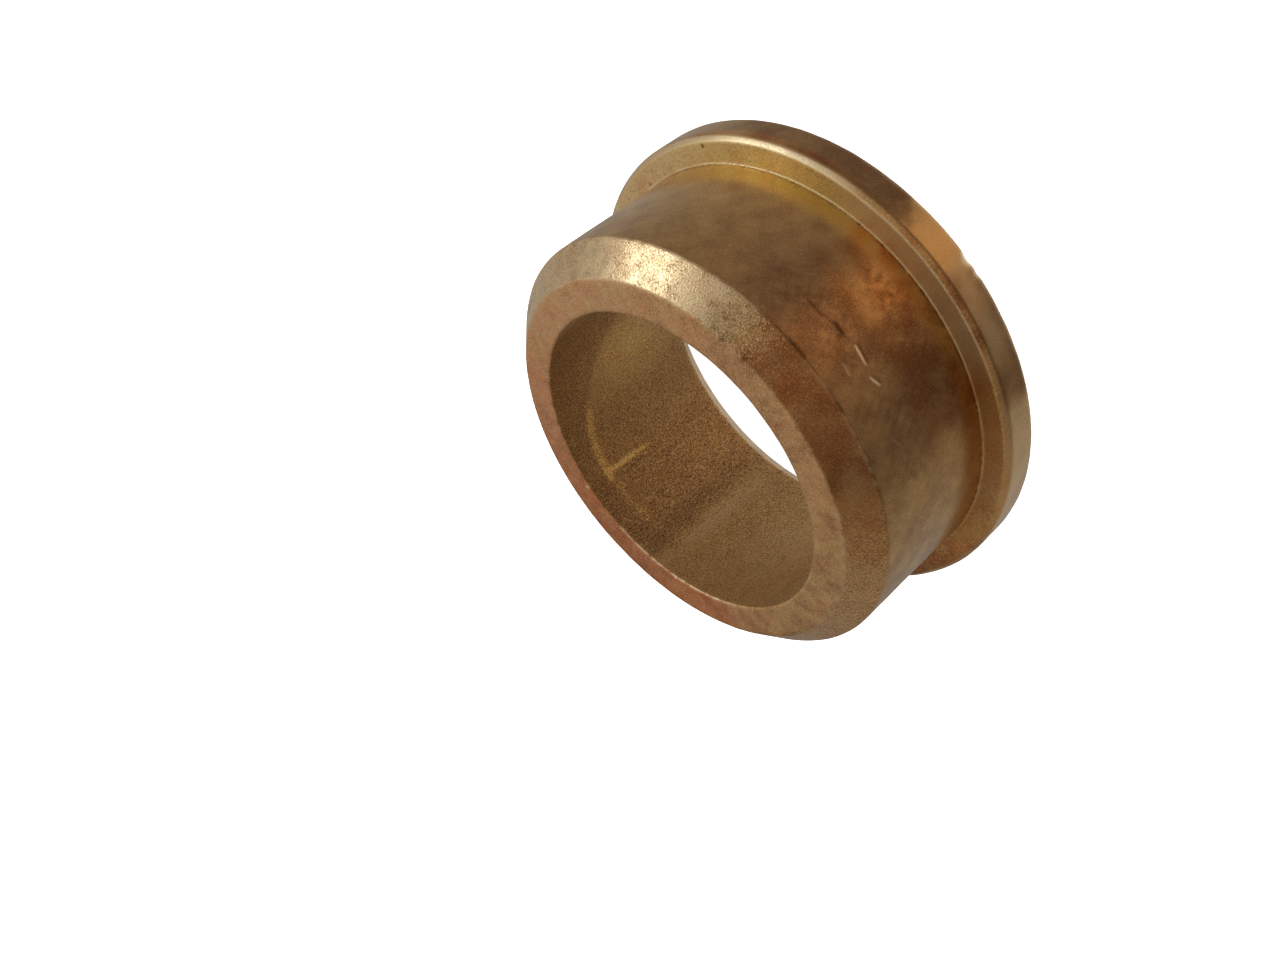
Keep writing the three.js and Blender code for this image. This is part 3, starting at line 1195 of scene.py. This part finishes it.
# %% Tones higher up
UPPER_RING = [
    # and the same, as high up as the camera and above
    (-180, (0.64, 0.47, 0.33)),
    (-150, (0.43, 0.32, 0.24)),
    (-97, (0.25, 0.20, 0.15)),
    (-80, (0.34, 0.27, 0.21)),
    (-60, (0.37, 0.33, 0.29)),
    (-12, (0.43, 0.41, 0.38)),
    (10, (0.82, 0.79, 0.74)),
    (46, (0.85, 0.84, 0.81)),
    (65, (1.00, 0.99, 0.96)),
    (86, (1.15, 1.14, 1.10)),
    (100, (0.90, 0.89, 0.85)),
    (115, (0.64, 0.61, 0.57)),
    (136, (0.53, 0.48, 0.41)),
    (158, (0.56, 0.43, 0.32)),
    (180, (0.64, 0.47, 0.33)),
]
CEILING = (0.52, 0.48, 0.43)
FLOOR = (0.80, 0.80, 0.80)
print(f"{len(UPPER_RING)} tones above the walls, under one ceiling")

# %% Rings of tone, and fades between them
def ramp(tree, value, stops):
    """A Color Ramp of (bearing in degrees, tone) stops, from the first to the last, read at a
    value in radians."""
    lowest, highest = stops[0][0], stops[-1][0]
    scaled = tree.nodes.new("ShaderNodeMapRange")
    scaled.inputs["From Min"].default_value = math.radians(lowest)
    scaled.inputs["From Max"].default_value = math.radians(highest)
    tree.links.new(value, scaled.inputs["Value"])
    node = tree.nodes.new("ShaderNodeValToRGB")
    elements = node.color_ramp.elements
    while len(elements) < len(stops):
        elements.new(1.0)
    for element, (place, tone) in zip(elements, stops):
        element.position = (place - lowest) / (highest - lowest)
        element.color = (*tone, 1)
    tree.links.new(scaled.outputs["Result"], node.inputs["Fac"])
    return node.outputs["Color"]


def fade_between(tree, value, start, end):
    """0 up to the first angle and 1 from the second, in degrees, smooth in between."""
    node = tree.nodes.new("ShaderNodeMapRange")
    node.interpolation_type = "SMOOTHSTEP"
    node.inputs["From Min"].default_value = math.radians(start)
    node.inputs["From Max"].default_value = math.radians(end)
    tree.links.new(value, node.inputs["Value"])
    return node.outputs["Result"]


world = bpy.data.worlds.new("room")
bpy.context.scene.world = world
world.use_nodes = True
tree = world.node_tree
tree.nodes.clear()
direction = tree.nodes.new("ShaderNodeTexCoord")
parts = tree.nodes.new("ShaderNodeSeparateXYZ")
tree.links.new(direction.outputs["Generated"], parts.inputs[0])
turn_here = arithmetic(tree, "ARCTAN2", parts.outputs["X"], parts.outputs["Y"])
height_here = arithmetic(tree, "ARCSINE", parts.outputs["Z"])
print("The room is read by bearing and by height, from", len(tree.nodes), "nodes")

# %% Paint the room
LAYERS = [
    # the tones that take over on the way up, and the heights that they fade in between
    (ramp(tree, turn_here, TABLE_RING), (-62, -50)),
    (ramp(tree, turn_here, WALL_RING), (-28, -2)),
    (ramp(tree, turn_here, UPPER_RING), (22, 38)),
    (CEILING, (52, 74)),
]
room = FLOOR
for tones, (fade_start, fade_end) in LAYERS:
    room = blend_colours(tree, fade_between(tree, height_here, fade_start, fade_end), room, tones)
background = tree.nodes.new("ShaderNodeBackground")
output = tree.nodes.new("ShaderNodeOutputWorld")
tree.links.new(room, background.inputs["Color"])
tree.links.new(background.outputs[0], output.inputs["Surface"])
print(f"The room has {len(LAYERS)} layers above its floor")

# %% [markdown]
# ## Colours as they are
#
# The usual view transform rolls bright tones off to grey, as film does. On a white sweep the
# white should stay white, so the standard one, which leaves colours alone, is chosen.

# %% Choose the view transform
bpy.context.scene.view_settings.view_transform = "Standard"
print("View transform:", bpy.context.scene.view_settings.view_transform)
